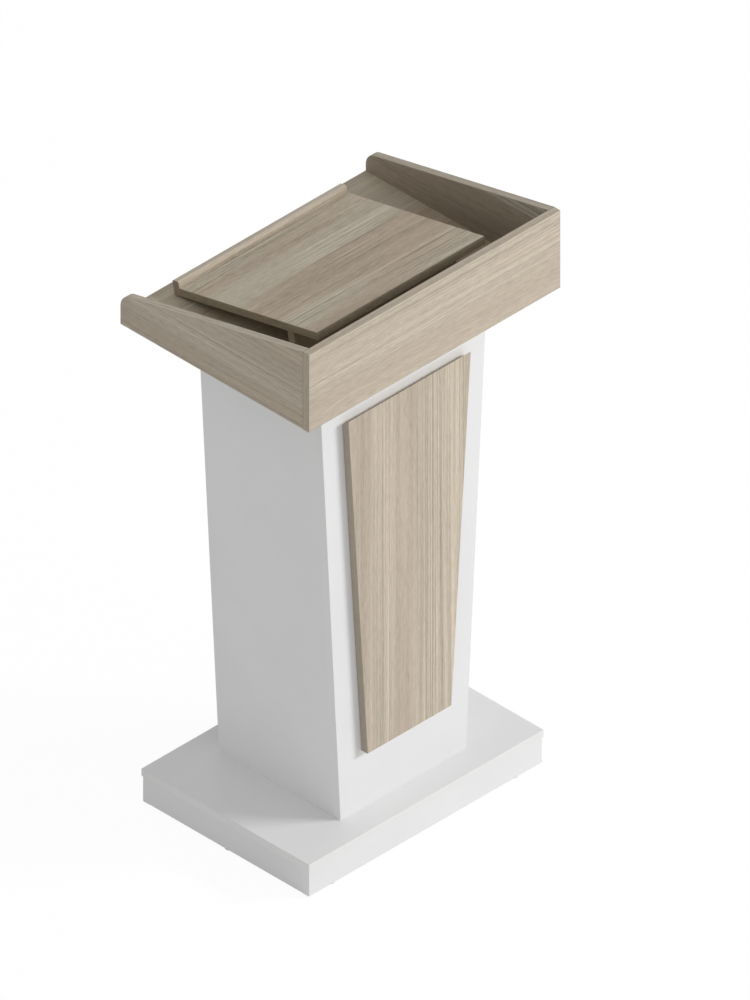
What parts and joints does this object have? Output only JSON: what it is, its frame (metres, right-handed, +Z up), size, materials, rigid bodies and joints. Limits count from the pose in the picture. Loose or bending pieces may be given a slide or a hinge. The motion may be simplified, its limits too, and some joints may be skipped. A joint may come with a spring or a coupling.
{
  "type": "lectern",
  "caption": "Standing lectern: white tapered column on a plinth base, wood-faced decor panel, and a walled desk tray with a tilted, hinged book rest and open shelves behind.",
  "frame": {"origin": "on the floor under the centre of the desk tray's outline", "axes": "+Z up, -Y towards the audience, +Y towards the speaker, +X to the right of someone facing the front"},
  "size_m": [0.6, 0.45, 1.143],
  "materials": {
    "white_board": "white melamine-faced board, satin",
    "oak_board": "pale oak-grain melamine-faced board, satin",
    "raw_timber": "bare sawn softwood",
    "beech_dowel": "fluted beech",
    "zinc_steel": "bright zinc-plated steel",
    "cast_zinc": "die-cast zinc",
    "hinge_steel": "nickel-plated steel",
    "glide_plastic": "white moulded plastic"
  },
  "bodies": {
    "lectern": {"plinth_front_board": "white_board", "plinth_rear_board": "white_board", "plinth_left_board": "white_board", "plinth_right_board": "white_board", "base_board": "white_board", "column_left_side": "white_board", "column_right_side": "white_board", "column_front_panel": "white_board", "column_floor_board": "white_board", "column_fixed_shelf": "white_board", "column_loose_shelf": "white_board", "column_ceiling_board": "white_board", "decor_panel": "oak_board", "tray_deck": "oak_board", "tray_front_panel": "oak_board", "tray_left_side": "oak_board", "tray_right_side": "oak_board", "plinth_left_rail": "raw_timber", "plinth_right_rail": "raw_timber", "plinth_corner_blocks": "raw_timber", "plinth_dowels": "beech_dowel", "column_dowels": "beech_dowel", "tray_dowels": "beech_dowel", "plinth_block_screws": "zinc_steel", "column_base_screws": "zinc_steel", "decor_panel_screws": "zinc_steel", "deck_screws": "zinc_steel", "column_cam_bolts": "zinc_steel", "tray_cam_bolts": "zinc_steel", "shelf_pins": "zinc_steel", "column_cam_discs": "cast_zinc", "tray_cam_discs": "cast_zinc", "left_hinge_deck_leaf": "hinge_steel", "right_hinge_deck_leaf": "hinge_steel", "left_hinge_pin": "hinge_steel", "right_hinge_pin": "hinge_steel", "hinge_deck_screws": "hinge_steel", "floor_glides": "glide_plastic"},
    "book_rest": {"book_board": "oak_board", "book_lip": "oak_board", "book_prop": "oak_board", "lip_dowels": "beech_dowel", "prop_dowels": "beech_dowel", "left_hinge_lip_leaf": "hinge_steel", "right_hinge_lip_leaf": "hinge_steel", "hinge_lip_screws": "hinge_steel"}
  },
  "joints": [
    {"name": "book_rest_lift", "type": "hinge", "parent": "lectern", "child": "book_rest", "pos_m": [0, 0.19925, 1.0115], "axis": [-1, 0, 0], "range_deg": [0, 70]}
  ]
}
